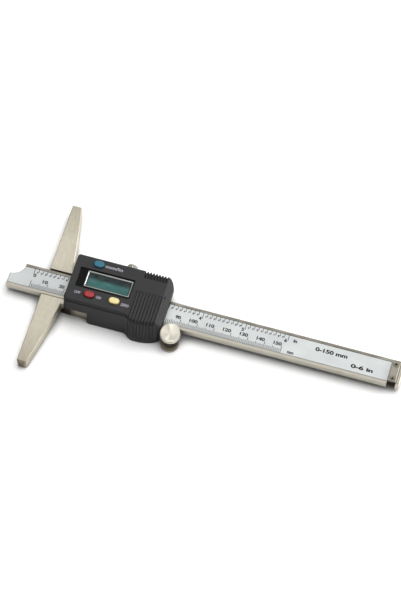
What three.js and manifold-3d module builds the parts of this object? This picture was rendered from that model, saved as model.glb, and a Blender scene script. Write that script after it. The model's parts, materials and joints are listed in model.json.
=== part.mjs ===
// Digital depth gauge, 150 mm range, lying on its base with the display up.
// Millimetres. X runs along the rod away from the measuring face, Y across the rod, Z up from the bench.
// The origin is on the measuring face, below the middle of the rod.
import * as THREE from "three";
import { mergeVertices } from "three/addons/utils/BufferGeometryUtils.js";
import Module from "manifold-3d";

const wasm = await Module();
wasm.setup();

// Rod, base and the heights they share
const rodWidth = 16;
const rodThickness = 4.8;
const rodLength = 234.1;
const rodReach = 21.6;
const rodChamfer = 0.35;
const scallopRadius = 7.8;
const baseLength = 105;
const baseThickness = 8.4;
const flushDrop = 0.2;
const runningGap = 0.3;
const seatGap = 0.1;
const weldDistance = 0.0002;
const cutOverrun = 2;
const roundSteps = 40;
const smallRoundSteps = 20;
const cornerSteps = 5;

const rodTop = baseThickness - flushDrop;
const rodBottom = rodTop - rodThickness;
const slotFloor = rodBottom - runningGap;
const rodSide = rodWidth / 2;
const rodTipX = -rodReach;
const rodEndX = rodTipX + rodLength;

// Finishes
const steel = new THREE.MeshStandardMaterial({ color: 0xc9c2ae, roughness: 0.38, metalness: 0.85 });
const darkSteel = new THREE.MeshStandardMaterial({ color: 0x918979, roughness: 0.45, metalness: 0.8 });
const turnedSteel = new THREE.MeshStandardMaterial({ color: 0xe1dac8, roughness: 0.25, metalness: 0.95 });
const brass = new THREE.MeshStandardMaterial({ color: 0xb59a55, roughness: 0.4, metalness: 0.9 });
const blackPlastic = new THREE.MeshStandardMaterial({ color: 0x3c3c3a, roughness: 0.55, metalness: 0 });
const labelWhite = new THREE.MeshStandardMaterial({ color: 0xd7dbdc, roughness: 0.5, metalness: 0 });
const boardGreen = new THREE.MeshStandardMaterial({ color: 0x2f5d3a, roughness: 0.6, metalness: 0 });
const displayTeal = new THREE.MeshStandardMaterial({ color: 0x417873, roughness: 0.3, metalness: 0 });
const bezelSilver = new THREE.MeshStandardMaterial({ color: 0xbebebe, roughness: 0.3, metalness: 0.7 });
const clearWindow = new THREE.MeshStandardMaterial({
  color: 0xe8f0f0, roughness: 0.05, metalness: 0, transparent: true, opacity: 0.25,
});
const darkRubber = new THREE.MeshStandardMaterial({ color: 0x202022, roughness: 0.8, metalness: 0 });
const buttonBlue = new THREE.MeshStandardMaterial({ color: 0x1b6a92, roughness: 0.4, metalness: 0 });
const buttonRed = new THREE.MeshStandardMaterial({ color: 0xc83237, roughness: 0.4, metalness: 0 });
const buttonYellow = new THREE.MeshStandardMaterial({ color: 0xf0dc90, roughness: 0.4, metalness: 0 });

// A closed geometry as a solid, and a solid as a geometry
function solidOf(geometry) {
  const loose = geometry.index ? geometry.toNonIndexed() : geometry;
  const bare = new THREE.BufferGeometry().setAttribute("position", loose.getAttribute("position"));
  const welded = mergeVertices(bare, weldDistance);
  return new wasm.Manifold(
    new wasm.Mesh({
      numProp: 3,
      vertProperties: new Float32Array(welded.getAttribute("position").array),
      triVerts: new Uint32Array(welded.index.array),
    }),
  );
}

function geometryOf(solid) {
  const mesh = solid.getMesh();
  const stride = mesh.numProp;
  const positions = new Float32Array(mesh.numVert * 3);
  for (let i = 0; i < mesh.numVert; i++) {
    positions.set(mesh.vertProperties.subarray(i * stride, i * stride + 3), i * 3);
  }
  const geometry = new THREE.BufferGeometry();
  geometry.setAttribute("position", new THREE.BufferAttribute(positions, 3));
  geometry.setIndex(new THREE.BufferAttribute(new Uint32Array(mesh.triVerts), 1));
  geometry.computeVertexNormals();
  return geometry;
}

function piece(name, solid, material) {
  const mesh = new THREE.Mesh(geometryOf(solid), material);
  mesh.name = name;
  return mesh;
}

function without(solid, ...cuts) {
  return cuts.reduce((left, cut) => left.subtract(cut), solid);
}

// A box between two values on each axis
function block([x0, x1], [y0, y1], [z0, z1]) {
  const geometry = new THREE.BoxGeometry(x1 - x0, y1 - y0, z1 - z0);
  geometry.translate((x0 + x1) / 2, (y0 + y1) / 2, (z0 + z1) / 2);
  return solidOf(geometry);
}

function shapeFrom(points) {
  return new THREE.Shape(points.map(([x, y]) => new THREE.Vector2(x, y)));
}

function roundedRectangle([x0, x1], [y0, y1], radius) {
  const shape = new THREE.Shape();
  shape.moveTo(x0 + radius, y0);
  shape.lineTo(x1 - radius, y0);
  shape.absarc(x1 - radius, y0 + radius, radius, -Math.PI / 2, 0);
  shape.lineTo(x1, y1 - radius);
  shape.absarc(x1 - radius, y1 - radius, radius, 0, Math.PI / 2);
  shape.lineTo(x0 + radius, y1);
  shape.absarc(x0 + radius, y1 - radius, radius, Math.PI / 2, Math.PI);
  shape.lineTo(x0, y0 + radius);
  shape.absarc(x0 + radius, y0 + radius, radius, Math.PI, Math.PI * 1.5);
  return shape;
}

// Points along a quarter or half turn about a centre
function arcPoints([x, y], radius, from, turn, steps) {
  return Array.from({ length: steps + 1 }, (_, i) => {
    const angle = from + turn * i / steps;
    return [x + radius * Math.cos(angle), y + radius * Math.sin(angle)];
  });
}

function pillPoints(length, width) {
  const straight = (length - width) / 2;
  return [
    ...arcPoints([straight, 0], width / 2, -Math.PI / 2, Math.PI, cornerSteps * 2),
    ...arcPoints([-straight, 0], width / 2, Math.PI / 2, Math.PI, cornerSteps * 2),
  ];
}

function pill(length, width) {
  return shapeFrom(pillPoints(length, width));
}

// An outline pulled from one level to another, with its end edges chamfered inwards
function pulled(shape, from, to, chamfer) {
  const geometry = new THREE.ExtrudeGeometry(shape, {
    depth: to - from - 2 * chamfer,
    curveSegments: cornerSteps,
    bevelEnabled: chamfer > 0,
    bevelThickness: chamfer,
    bevelSize: chamfer,
    bevelOffset: -chamfer,
    bevelSegments: 1,
  });
  geometry.translate(0, 0, from + chamfer);
  return geometry;
}

// The outline lies in X and Y and is pulled along Z
function prismZ(shape, z0, z1, chamfer = 0) {
  return solidOf(pulled(shape, z0, z1, chamfer));
}

// The outline lies in Y and Z and is pulled along X
function prismX(shape, x0, x1, chamfer = 0) {
  const turn = new THREE.Matrix4().makeBasis(
    new THREE.Vector3(0, 1, 0), new THREE.Vector3(0, 0, 1), new THREE.Vector3(1, 0, 0),
  );
  return solidOf(pulled(shape, x0, x1, chamfer).applyMatrix4(turn));
}

// The outline lies in X and Z and is pulled along Y
function prismY(shape, y0, y1, chamfer = 0) {
  const turn = new THREE.Matrix4().makeBasis(
    new THREE.Vector3(1, 0, 0), new THREE.Vector3(0, 0, 1), new THREE.Vector3(0, -1, 0),
  );
  return solidOf(pulled(shape, -y1, -y0, chamfer).applyMatrix4(turn));
}

// A turned piece: its profile is [radius, height] from the bottom of the axis to the top
function turned(profile, steps = roundSteps) {
  const points = profile.map(([radius, height]) => new THREE.Vector2(radius, height));
  return new THREE.LatheGeometry(points, steps).rotateX(Math.PI / 2);
}

function turnedAt(profile, [x, y, z], steps = roundSteps) {
  return solidOf(turned(profile, steps).translate(x, y, z));
}

// A turned piece whose axis lies along Y, with its profile's bottom at the lowest Y
function turnedAlongY(profile, [x, y, z], steps = roundSteps) {
  return solidOf(turned(profile, steps).rotateX(-Math.PI / 2).translate(x, y, z));
}

function rod(radius, z0, z1, [x, y], steps = smallRoundSteps) {
  return turnedAt([[0, z0], [radius, z0], [radius, z1], [0, z1]], [x, y, 0], steps);
}

// A solid through outlines of equally many points, one outline for each level, lowest first
function loft(levels) {
  const count = levels[0].outline.length;
  const positions = levels.flatMap(({ z, outline }) => outline.flatMap(([x, y]) => [x, y, z]));
  const index = [];
  for (let level = 0; level + 1 < levels.length; level++) {
    for (let i = 0; i < count; i++) {
      const next = (i + 1) % count;
      const low = level * count;
      const high = low + count;
      index.push(low + i, low + next, high + next);
      index.push(low + i, high + next, high + i);
    }
  }
  const cap = (outline) =>
    THREE.ShapeUtils.triangulateShape(outline.map(([x, y]) => new THREE.Vector2(x, y)), []);
  const last = (levels.length - 1) * count;
  cap(levels[0].outline).forEach(([a, b, c]) => index.push(a, c, b));
  cap(levels[levels.length - 1].outline).forEach(([a, b, c]) => index.push(last + a, last + b, last + c));
  const geometry = new THREE.BufferGeometry();
  geometry.setAttribute("position", new THREE.Float32BufferAttribute(positions, 3));
  geometry.setIndex(index);
  return solidOf(geometry);
}

// Screws, used head up or head down
const crossDepthShare = 0.6;
const crossWidthShare = 0.32;
const crossLengthShare = 1.3;

const stopScrewSize = { head: 1.7, sink: 0.8, shank: 0.9, length: 4.4 };
const frameScrewSize = { head: 1.9, sink: 0.9, shank: 1, length: 6.4 };
const housingScrewSize = { head: 1.6, sink: 0.8, shank: 0.8, length: 13.6 };
const bracketScrewSize = { head: 1.9, sink: 0.9, shank: 0.9, length: 4.6 };

function sunkProfile({ head, sink, shank, length }, clearance) {
  return [
    [0, -length - clearance],
    [shank + clearance, -length - clearance],
    [shank + clearance, -sink - clearance],
    [head + clearance, -clearance],
    [head + clearance, 0],
    [0, 0],
  ];
}

// A countersunk screw with a cross recess, its head's face at the given height
function screw(size, [x, y, z], headUp) {
  const bar = size.head * crossLengthShare / 2;
  const half = size.head * crossWidthShare / 2;
  const depth = size.sink * crossDepthShare;
  const body = turnedAt(sunkProfile(size, 0), [0, 0, 0], smallRoundSteps);
  const along = block([-bar, bar], [-half, half], [-depth, cutOverrun]);
  const across = block([-half, half], [-bar, bar], [-depth, cutOverrun]);
  const made = without(body, along, across);
  return (headUp ? made : made.rotate([180, 0, 0])).translate([x, y, z]);
}

function screwHole(size, [x, y, z], headUp) {
  const hole = turnedAt(sunkProfile(size, seatGap), [0, 0, 0], smallRoundSteps)
    .add(rod(size.head + seatGap, 0, cutOverrun, [0, 0]));
  return (headUp ? hole : hole.rotate([180, 0, 0])).translate([x, y, z]);
}

// Rod: raised rails along both edges, a recess for the scale, a scallop at the back of the tip
const railWidth = 1.7;
const recessDepth = 0.8;
const recessEndMargin = 2.1;
const stripThickness = 0.4;
const labelThickness = 0.2;
const labelTipMargin = 0.5;
const labelSideGap = 0.15;

const recessWidth = rodWidth - 2 * railWidth;
const recessFloor = rodTop - recessDepth;
const stripTop = recessFloor + stripThickness;
const labelTop = stripTop + labelThickness;

// Stop plate at the far end
const stopPlateLength = 4.8;
const stopPlateSideGap = 0.2;
const stopPlateThickness = 2;
const stopPlateChamfer = 0.25;
const stopPlateEndMargin = 2.4;
const stopScrewInset = 1.5;
const stopNotchDepth = 2.2;

const stopPlateSide = recessWidth / 2 - stopPlateSideGap;
const stopPlateX1 = rodEndX - stopPlateEndMargin;
const stopPlateX0 = stopPlateX1 - stopPlateLength;
const stopPlateTop = recessFloor + stopPlateThickness;
const stopScrewPlaces = [-1, 1].map((side) => [
  (stopPlateX0 + stopPlateX1) / 2, side * (stopPlateSide - stopScrewInset), stopPlateTop,
]);

function rodOutline(x0, x1, halfWidth, scallop) {
  const shape = new THREE.Shape();
  shape.moveTo(x0, -halfWidth);
  shape.lineTo(x1, -halfWidth);
  shape.lineTo(x1, halfWidth);
  const reach = Math.sqrt(scallop ** 2 - (rodSide - halfWidth) ** 2);
  shape.lineTo(rodTipX + reach, halfWidth);
  const from = -Math.asin((rodSide - halfWidth) / scallop);
  const to = -Math.acos((x0 - rodTipX) / scallop);
  shape.absarc(rodTipX, rodSide, scallop, from, to, true);
  return shape;
}

function makeBeam() {
  const body = prismZ(rodOutline(rodTipX, rodEndX, rodSide, scallopRadius), rodBottom, rodTop, rodChamfer);
  const recess = block(
    [rodTipX - cutOverrun, rodEndX - recessEndMargin],
    [-recessWidth / 2, recessWidth / 2],
    [recessFloor, rodTop + cutOverrun],
  );
  const stopNotch = block(
    [stopPlateX0, stopPlateX1],
    [-rodSide - cutOverrun, -recessWidth / 2],
    [rodTop - stopNotchDepth, rodTop + cutOverrun],
  );
  return without(
    body, recess, stopNotch, ...stopScrewPlaces.map((place) => screwHole(stopScrewSize, place, true)),
  );
}

function stripOutline() {
  const halfWidth = recessWidth / 2 - labelSideGap;
  return rodOutline(
    rodTipX + labelTipMargin, stopPlateX0 - labelSideGap, halfWidth, scallopRadius + labelTipMargin,
  );
}

function makeStopPlate() {
  const outline = shapeFrom([
    [stopPlateX0, -stopPlateSide],
    [stopPlateX1, -stopPlateSide],
    [stopPlateX1, stopPlateSide],
    [stopPlateX0, stopPlateSide],
  ]);
  const plate = prismZ(outline, recessFloor, stopPlateTop, stopPlateChamfer);
  return without(plate, ...stopScrewPlaces.map((place) => screwHole(stopScrewSize, place, true)));
}

// Base: straight measuring face, wings that taper to their tips on the far side
const wingTipThickness = 5.4;
const wingRootThickness = 13.2;
const wingCrown = 0.9;
const bossInset = 1.5;
const bossDepth = 15.2;
const bossFillet = 1.6;
const baseChamfer = 0.4;
const slotBackPlay = 0.9;
const footDepth = 11.2;
const footThickness = 1.5;
const baseScrewInset = 2.3;
const baseScrewDepth = 6.6;

// Slider frame: a channel that guides the rod, with a foot let into the underside of the base
const frameWall = 4.6;
const frameLength = 57;
const frameTop = 8.6;
const frameChamfer = 0.3;
const gibThickness = 0.8;
const gibClearance = 0.3;
const gibEndMargin = 2.6;

const frameSide = rodSide + runningGap + frameWall;
const bossHalfWidth = frameSide - bossInset;
const frameX0 = bossDepth + seatGap;
const frameX1 = frameX0 + frameLength;
const footX0 = bossDepth - footDepth;
const gibFace = rodSide + runningGap;
const channelBack = gibFace + gibThickness + gibClearance;
const baseScrewPlaces = [-1, 1].map((side) => [
  bossDepth - baseScrewDepth, side * (frameSide - baseScrewInset), 0,
]);

function makeBase() {
  const half = baseLength / 2;
  const crownY = (half + bossHalfWidth) / 2;
  const crownX = (wingTipThickness + wingRootThickness) / 2 + wingCrown;
  const shape = new THREE.Shape();
  shape.moveTo(0, half);
  shape.lineTo(0, -half);
  shape.lineTo(wingTipThickness, -half);
  shape.quadraticCurveTo(crownX, -crownY, wingRootThickness, -bossHalfWidth);
  shape.quadraticCurveTo(bossDepth, -bossHalfWidth, bossDepth, -bossHalfWidth + bossFillet);
  shape.lineTo(bossDepth, bossHalfWidth - bossFillet);
  shape.quadraticCurveTo(bossDepth, bossHalfWidth, wingRootThickness, bossHalfWidth);
  shape.quadraticCurveTo(crownX, crownY, wingTipThickness, half);
  const body = prismZ(shape, 0, baseThickness, baseChamfer);
  const slot = block(
    [-cutOverrun, bossDepth + cutOverrun],
    [-rodSide - runningGap, rodSide + slotBackPlay],
    [slotFloor, baseThickness + cutOverrun],
  );
  const rebate = block(
    [footX0 - seatGap, bossDepth + cutOverrun],
    [-frameSide - seatGap, frameSide + seatGap],
    [-cutOverrun, footThickness + seatGap],
  );
  return without(
    body, slot, rebate, ...baseScrewPlaces.map((place) => screwHole(frameScrewSize, place, false)),
  );
}

// Thumb roller: its neck runs on the rod's front edge, between its head and the pad of the bracket
const rollerOverhang = 6.9;
const rollerNeckRadius = 4.9;
const rollerTopRadius = 5.9;
const rollerTopThickness = 3.8;
const rollerEdge = 0.4;
const rollerDish = 0.25;
const rollerDishRadius = 4.9;
const axleRadius = 1.2;
const axleHeadRadius = 2;
const axleHeadThickness = 0.5;
const axleInset = 2.2;
const axleRunningGap = 0.08;
const bracketThickness = 1.4;
const bracketLap = 12.3;
const bracketInset = 0.3;
const bracketElbow = 0.6;
const bracketPadRadius = 5.4;
const bracketPadOffset = 1.6;
const bracketBackMargin = 6;
const bracketScrewOffsets = [3.6, 9.6];
const bracketScrewInset = 2.7;

const rollerX = frameX1 + rollerOverhang;
const rollerY = -(rodSide + runningGap + rollerNeckRadius);
const rollerTopZ0 = rodTop + runningGap;
const rollerTopZ1 = rollerTopZ0 + rollerTopThickness;
const rollerBottom = bracketThickness + runningGap;
const axleTop = rollerTopZ1 - axleInset;
const bracketX0 = frameX1 - bracketLap;
const bracketScrewPlaces = bracketScrewOffsets.map((offset) => [
  bracketX0 + offset, bracketScrewInset - frameSide, 0,
]);
const bracketPadY = rollerY - bracketPadOffset;
const bracketBackY = rollerY + bracketBackMargin;
const bracketFrontY = -frameSide + bracketInset;

function makeRoller() {
  const bore = axleRadius + axleRunningGap;
  const boreTop = axleTop + runningGap;
  return turnedAt([
    [0, boreTop],
    [bore, boreTop],
    [bore, rollerBottom],
    [rollerNeckRadius - rollerEdge, rollerBottom],
    [rollerNeckRadius, rollerBottom + rollerEdge],
    [rollerNeckRadius, rollerTopZ0],
    [rollerTopRadius - rollerEdge, rollerTopZ0],
    [rollerTopRadius, rollerTopZ0 + rollerEdge],
    [rollerTopRadius, rollerTopZ1 - rollerEdge],
    [rollerTopRadius - rollerEdge, rollerTopZ1],
    [rollerDishRadius, rollerTopZ1],
    [0, rollerTopZ1 - rollerDish],
  ], [rollerX, rollerY, 0]);
}

function makeBracket() {
  const elbowX = rollerX - rollerTopRadius - bracketElbow;
  const shape = new THREE.Shape();
  shape.moveTo(bracketX0, bracketBackY);
  shape.lineTo(elbowX, bracketBackY);
  shape.absarc(rollerX, bracketPadY, bracketPadRadius, Math.PI / 2, -Math.PI * 0.75, true);
  shape.lineTo(elbowX, bracketFrontY);
  shape.lineTo(bracketX0, bracketFrontY);
  const plate = prismZ(shape, 0, bracketThickness);
  const axleHole = rod(axleRadius + seatGap, -cutOverrun, bracketThickness + cutOverrun, [rollerX, rollerY]);
  const headRoom = rod(
    axleHeadRadius + seatGap, -cutOverrun, axleHeadThickness + seatGap, [rollerX, rollerY],
  );
  return without(
    plate, axleHole, headRoom,
    ...bracketScrewPlaces.map((place) => screwHole(bracketScrewSize, place, false)),
  );
}

function makeAxle() {
  return turnedAt([
    [0, 0],
    [axleHeadRadius, 0],
    [axleHeadRadius, axleHeadThickness],
    [axleRadius, axleHeadThickness],
    [axleRadius, axleTop],
    [0, axleTop],
  ], [rollerX, rollerY, 0], smallRoundSteps);
}

// Screws that hold the housing, and the screws in the back wall of the frame
const housingScrewMargins = { left: 5.7, frontRight: 16.7, backRight: 3.3 };
const housingScrewInsets = { front: 2.3, back: 1.8 };
const backScrewZ = 5.2;
const gibScrewMargin = 12.5;
const gibScrewRadius = 1.5;
const gibScrewInset = 0.4;
const gibSlotWidth = 0.5;
const gibSlotDepth = 0.8;

const gibScrewX = [frameX0 + gibScrewMargin, frameX1 - gibScrewMargin];
const housingScrewPlaces = [
  [frameX0 + housingScrewMargins.left, housingScrewInsets.front - frameSide, 0],
  [frameX1 - housingScrewMargins.frontRight, housingScrewInsets.front - frameSide, 0],
  [frameX0 + housingScrewMargins.left, frameSide - housingScrewInsets.back, 0],
  [frameX1 - housingScrewMargins.backRight, frameSide - housingScrewInsets.back, 0],
];

// Lock screw: a knurled head behind the slider, its tip against the gib
const lockShankRadius = 1.5;
const lockCollarRadius = 2.2;
const lockCollarLength = 5.2;
const lockOffset = 1.5;
const lockHeadRadius = 3.1;
const lockHeadLength = 6.8;
const lockHeadChamfer = 0.5;
const knurlCount = 24;
const knurlDepth = 0.28;

const lockX = (frameX0 + frameX1) / 2 + lockOffset;
const gibBackFace = gibFace + gibThickness;
const lockHeadY0 = frameSide + runningGap + lockCollarLength;

function makeFrame() {
  const profile = shapeFrom([
    [-frameSide, 0],
    [frameSide, 0],
    [frameSide, frameTop],
    [channelBack, frameTop],
    [channelBack, slotFloor],
    [-rodSide - runningGap, slotFloor],
    [-rodSide - runningGap, frameTop],
    [-frameSide, frameTop],
  ]);
  const channel = prismX(profile, frameX0, frameX1, frameChamfer);
  const foot = block([footX0, frameX0 + frameChamfer], [-frameSide, frameSide], [0, footThickness]);
  const bracketSeat = block(
    [bracketX0 - seatGap, frameX1 + cutOverrun],
    [-frameSide - cutOverrun, bracketBackY + seatGap],
    [-cutOverrun, bracketThickness + seatGap],
  );
  const backHole = (x, radius) => turnedAlongY([
    [0, 0],
    [radius, 0],
    [radius, frameSide],
    [0, frameSide],
  ], [x, gibBackFace, backScrewZ], smallRoundSteps);
  return without(
    channel.add(foot), bracketSeat,
    ...gibScrewX.map((x) => backHole(x, gibScrewRadius + seatGap)),
    backHole(lockX, lockShankRadius + seatGap),
    ...baseScrewPlaces.map((place) => screwHole(frameScrewSize, place, false)),
    ...housingScrewPlaces.map((place) => screwHole(housingScrewSize, place, false)),
    ...bracketScrewPlaces.map((place) => screwHole(bracketScrewSize, place, false)),
  );
}

function makeGib() {
  return block(
    [frameX0 + gibEndMargin, frameX1 - gibEndMargin],
    [gibFace, gibBackFace],
    [rodBottom, rodTop],
  );
}

function makeGibScrew(x) {
  const y1 = frameSide - gibScrewInset;
  const body = turnedAlongY([
    [0, 0],
    [gibScrewRadius, 0],
    [gibScrewRadius, y1 - gibBackFace],
    [0, y1 - gibBackFace],
  ], [x, gibBackFace, backScrewZ], smallRoundSteps);
  const slot = block(
    [x - gibScrewRadius - cutOverrun, x + gibScrewRadius + cutOverrun],
    [y1 - gibSlotDepth, y1 + cutOverrun],
    [backScrewZ - gibSlotWidth / 2, backScrewZ + gibSlotWidth / 2],
  );
  return without(body, slot);
}

function makeLockScrew() {
  const tip = gibBackFace + seatGap;
  const stem = turnedAlongY([
    [0, 0],
    [lockShankRadius, 0],
    [lockShankRadius, frameSide + runningGap - tip],
    [lockCollarRadius, frameSide + runningGap - tip],
    [lockCollarRadius, lockHeadY0 + lockHeadChamfer - tip],
    [0, lockHeadY0 + lockHeadChamfer - tip],
  ], [lockX, tip, backScrewZ], smallRoundSteps);
  const knurl = Array.from({ length: knurlCount * 2 }, (_, i) => {
    const angle = Math.PI * i / knurlCount;
    const radius = lockHeadRadius - (i % 2) * knurlDepth;
    return [radius * Math.cos(angle), radius * Math.sin(angle)];
  });
  const head = prismY(shapeFrom(knurl), lockHeadY0, lockHeadY0 + lockHeadLength, lockHeadChamfer)
    .translate([lockX, 0, backScrewZ]);
  return stem.add(head);
}

// Housing: its outline in plan at any depth below the top face
const housingLead = 0.1;
const housingTail = 1.1;
const housingTop = 19.6;
const housingBackReach = 4.3;
const housingDraftShare = 0.14;
const housingEdge = 0.7;
const housingCorner = 1.6;
const housingBackCorner = 5;
const housingEndInset = 2.5;
const bulgeEndMargin = 14;
const bulgeRise = 6;
const bulgeCrestLength = 2;
const bulgeDepth = 2.5;
const bulgeDraftShare = 0.04;
const bulgeSteps = 8;
const crestSteps = 12;
const skirtBottom = 0.4;
const skirtGap = 0.3;
const stepLength = 14.2;
const stepZ = 9.7;
const stepFillet = 1.5;
const bevelLength = 3.2;
const bevelZ = 14.6;
const partingHeight = 1.5;
const partingDepth = 0.9;
const partingLead = 1.3;
const coverThickness = 2;

const housingX0 = frameX0 + housingLead;
const housingX1 = frameX1 + housingTail;
const housingFront = frameSide;
const housingBack = frameSide + housingBackReach;
const housingFrontEnd = housingFront - housingEndInset;
const bulgeCrestX = housingX1 - bulgeEndMargin;
const bulgeX1 = bulgeCrestX - bulgeCrestLength;
const bulgeX0 = bulgeX1 - bulgeRise;
const skirtInner = frameSide + skirtGap;
const stepX = housingX0 + stepLength;
const bevelX = housingX1 - bevelLength;
const partingX0 = housingX0 + partingLead;
const coverZ = housingTop - coverThickness;

function smooth(share) {
  return share * share * (3 - 2 * share);
}

// Distance of the front wall from the rod's middle plane at x, at a depth below the top face
function frontAt(x, depth) {
  const wall = housingFront + depth * housingDraftShare;
  const bulge = bulgeDepth + depth * bulgeDraftShare;
  if (x <= bulgeX0) return wall;
  if (x <= bulgeX1) return wall + bulge * smooth((x - bulgeX0) / (bulgeX1 - bulgeX0));
  if (x <= bulgeCrestX) return wall + bulge;
  const end = housingFrontEnd + depth * housingDraftShare;
  const along = Math.min(1, (x - bulgeCrestX) / (housingX1 - bulgeCrestX));
  return end + (wall + bulge - end) * Math.sqrt(1 - along * along);
}

function housingOutline(depth, inset) {
  const back = housingBack + depth * housingDraftShare - inset;
  const left = housingX0 + inset;
  const right = housingX1 - inset;
  const fitted = (x) => left + (x - housingX0) * (right - left) / (housingX1 - housingX0);
  const corner = (x, y, radius, from) => arcPoints([x, y], radius, from, Math.PI / 2, cornerSteps);
  const along = (x0, x1, steps) =>
    Array.from({ length: steps }, (_, i) => x0 + (x1 - x0) * i / steps);
  const crest = Array.from({ length: crestSteps }, (_, i) =>
    bulgeCrestX + (housingX1 - bulgeCrestX) * Math.sin(Math.PI / 2 * (i + 1) / crestSteps));
  const frontXs = [...along(bulgeX0, bulgeX1, bulgeSteps), bulgeX1, bulgeCrestX, ...crest];
  const frontLeft = -frontAt(housingX0, depth) + inset;
  return [
    ...corner(left + housingCorner, frontLeft + housingCorner, housingCorner, Math.PI),
    ...frontXs.map((x) => [fitted(x), -frontAt(x, depth) + inset]),
    ...corner(right - housingBackCorner, back - housingBackCorner, housingBackCorner, 0),
    ...corner(left + housingCorner, back - housingCorner, housingCorner, Math.PI / 2),
  ];
}

function housingBlank() {
  const skirtDepth = housingTop - skirtBottom;
  const blank = loft([
    { z: skirtBottom, outline: housingOutline(skirtDepth, 0) },
    { z: housingTop - housingEdge, outline: housingOutline(housingEdge, 0) },
    { z: housingTop, outline: housingOutline(0, housingEdge) },
  ]);
  const fall = (housingTop - bevelZ) / (housingX1 - bevelX);
  const farX = housingX1 + cutOverrun;
  const bevel = prismY(shapeFrom([
    [bevelX, housingTop],
    [farX, housingTop - fall * (farX - bevelX)],
    [farX, housingTop + cutOverrun],
    [bevelX, housingTop + cutOverrun],
  ]), -baseLength / 2, baseLength / 2);
  return without(blank, bevel);
}

// The V groove that runs along the front wall, level with the lower face of the battery cover
function partingGroove() {
  const reach = 1 + cutOverrun / partingDepth;
  const core = loft([-reach, 0, reach].map((share) => {
    const z = coverZ + share * partingHeight / 2;
    return { z, outline: housingOutline(housingTop - z, partingDepth * (1 - Math.abs(share))) };
  }));
  const slab = block(
    [partingX0, bevelX],
    [-baseLength / 2, -housingFrontEnd / 2],
    [coverZ - reach * partingHeight / 2, coverZ + reach * partingHeight / 2],
  );
  return slab.subtract(core);
}

// Display: recess in the top face, bezel, window, panel, its holder and its rubber connectors
const displayLead = 3.8;
const displayCoverGap = 1.5;
const displayFrontWidth = 9.5;
const displayBackWidth = 7.9;
const coverLength = 20;
const displayRecessDepth = 1.2;
const displaySkin = 1.1;
const bezelMargins = { left: 4.7, right: 0.5, front: 1.1, back: 0.7 };
const bezelRim = 1;
const bezelThickness = 0.8;
const bezelCorner = 1;
const bezelChamfer = 0.3;
const windowThickness = 0.5;
const windowLedge = 0.4;
const panelMargins = { left: 3.4, right: 0, front: -0.5, back: -0.3 };
const panelThickness = 2;
const boardMargins = { left: 3, right: 2, front: 0.7, back: 0 };
const boardThickness = 1.2;
const connectorWidth = 1.6;
const connectorMargin = 0.5;
const connectorEndMargin = 1.2;

const coverX0 = housingX1 - coverLength;
const displayRecessX = [housingX0 + displayLead, coverX0 - displayCoverGap];
const displayRecessY = [displayFrontWidth - housingFront, housingBack - displayBackWidth];
const within = ([x0, x1], [y0, y1], { left, right, front, back }) =>
  [[x0 + left, x1 - right], [y0 + front, y1 - back]];
const [bezelX, bezelY] = within(displayRecessX, displayRecessY, bezelMargins);
const [panelX, panelY] = within(displayRecessX, displayRecessY, panelMargins);
const [boardX, boardY] = within([housingX0, housingX1], [-frameSide, frameSide], boardMargins);
const recessZ = housingTop - displayRecessDepth;
const panelTop = recessZ - displaySkin - seatGap;
const panelBottom = panelTop - panelThickness;
const boardTop = frameTop + boardThickness;
const grown = ([low, high], by) => [low - by, high + by];
const bezelHoleX = grown(bezelX, -bezelRim);
const bezelHoleY = grown(bezelY, -bezelRim);

function connectorSpan(side) {
  const edge = side < 0 ? panelY[0] + connectorMargin : panelY[1] - connectorMargin - connectorWidth;
  return [edge, edge + connectorWidth];
}

function makeConnector(side) {
  return block(grown(panelX, -connectorEndMargin), connectorSpan(side), [boardTop, panelBottom]);
}

function makeHolder() {
  const body = block(panelX, panelY, [boardTop, panelBottom - seatGap]);
  const slots = [-1, 1].map((side) => block(
    grown(panelX, seatGap - connectorEndMargin), grown(connectorSpan(side), seatGap),
    [boardTop - cutOverrun, panelBottom + cutOverrun],
  ));
  return without(body, ...slots);
}

function makeBezel() {
  const shape = roundedRectangle(bezelX, bezelY, bezelCorner);
  shape.holes.push(new THREE.Path(
    roundedRectangle(bezelHoleX, bezelHoleY, bezelCorner / 2).getPoints(cornerSteps).reverse(),
  ));
  return prismZ(shape, recessZ, recessZ + bezelThickness, bezelChamfer);
}

function makeWindow() {
  const shape = roundedRectangle(grown(bezelHoleX, -seatGap), grown(bezelHoleY, -seatGap), bezelCorner / 2);
  return prismZ(shape, recessZ, recessZ + windowThickness);
}

// Buttons: a domed cap in the top face, a flange under it and a stem over its switch
const backButtonShare = 0.2966;
const leftButtonShare = 0.3027;
const rightButtonShare = 0.7584;
const backButtonInset = 3.9;
const frontButtonInset = 6;
const buttonLength = 6.4;
const buttonWidth = 4.2;
const buttonProud = 1.2;
const buttonDome = 0.6;
const buttonDomeInset = 0.7;
const domeRimShare = 0.25;
const crownInsetShare = 2.5;
const buttonGap = 0.2;
const buttonSkin = 1.8;
const buttonFlange = 0.6;
const buttonFlangeThickness = 0.8;
const buttonStemRadius = 0.8;
const buttonTravel = 0.5;
const switchSize = 3;
const switchHeight = 1.6;

const switchTop = boardTop + switchHeight;
const besideDisplay = (share) => displayRecessX[0] + share * (displayRecessX[1] - displayRecessX[0]);
const frontButtonY = frontButtonInset - housingFront;
const buttonPlaces = {
  mode_button: { x: besideDisplay(backButtonShare), y: housingBack - backButtonInset, finish: buttonBlue },
  power_button: { x: besideDisplay(leftButtonShare), y: frontButtonY, finish: buttonRed },
  zero_button: { x: besideDisplay(rightButtonShare), y: frontButtonY, finish: buttonYellow },
};

// A switch sits on the board below its button, moved in where the button overhangs the frame
function switchY(y) {
  return Math.min(y, frameSide - switchSize / 2);
}

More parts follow.
